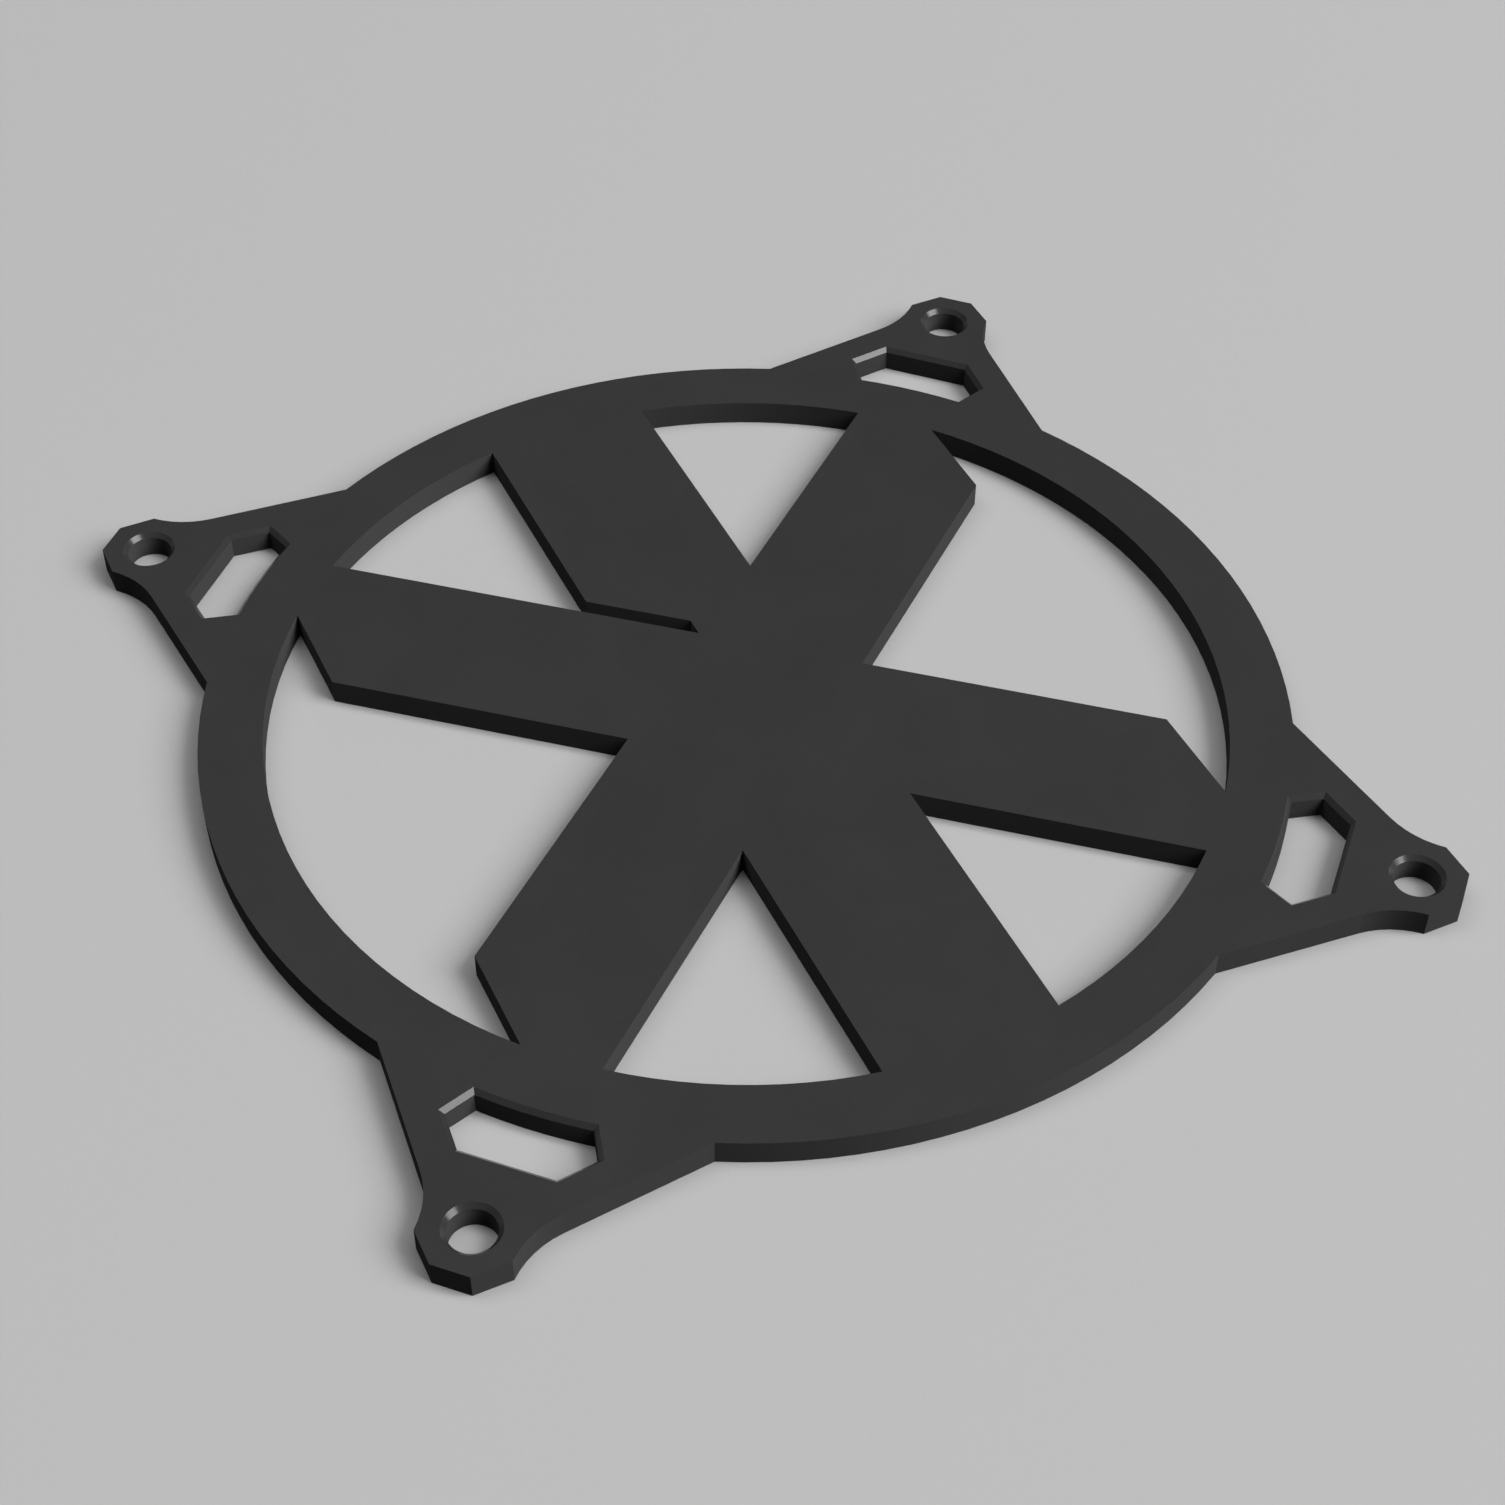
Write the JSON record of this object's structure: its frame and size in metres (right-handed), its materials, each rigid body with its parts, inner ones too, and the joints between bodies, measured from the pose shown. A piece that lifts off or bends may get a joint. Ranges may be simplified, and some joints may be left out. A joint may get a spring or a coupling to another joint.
{
  "type": "fan cover",
  "caption": "Flat cover plate that screws over a 120 mm fan: a ring crossed by broad bars, with slotted corner lugs and chamfered screw holes.",
  "frame": {"origin": "middle of the ring, on the flat underside that meets the fan", "axes": "+Z out of the chamfered front face, +Y along the upright bar, X across it"},
  "size_m": [0.12, 0.12, 0.003],
  "materials": {
    "charcoal_plastic": "satin dark charcoal plastic, one colour all over"
  },
  "bodies": {
    "root": {"fan_cover": "charcoal_plastic"}
  },
  "joints": []
}
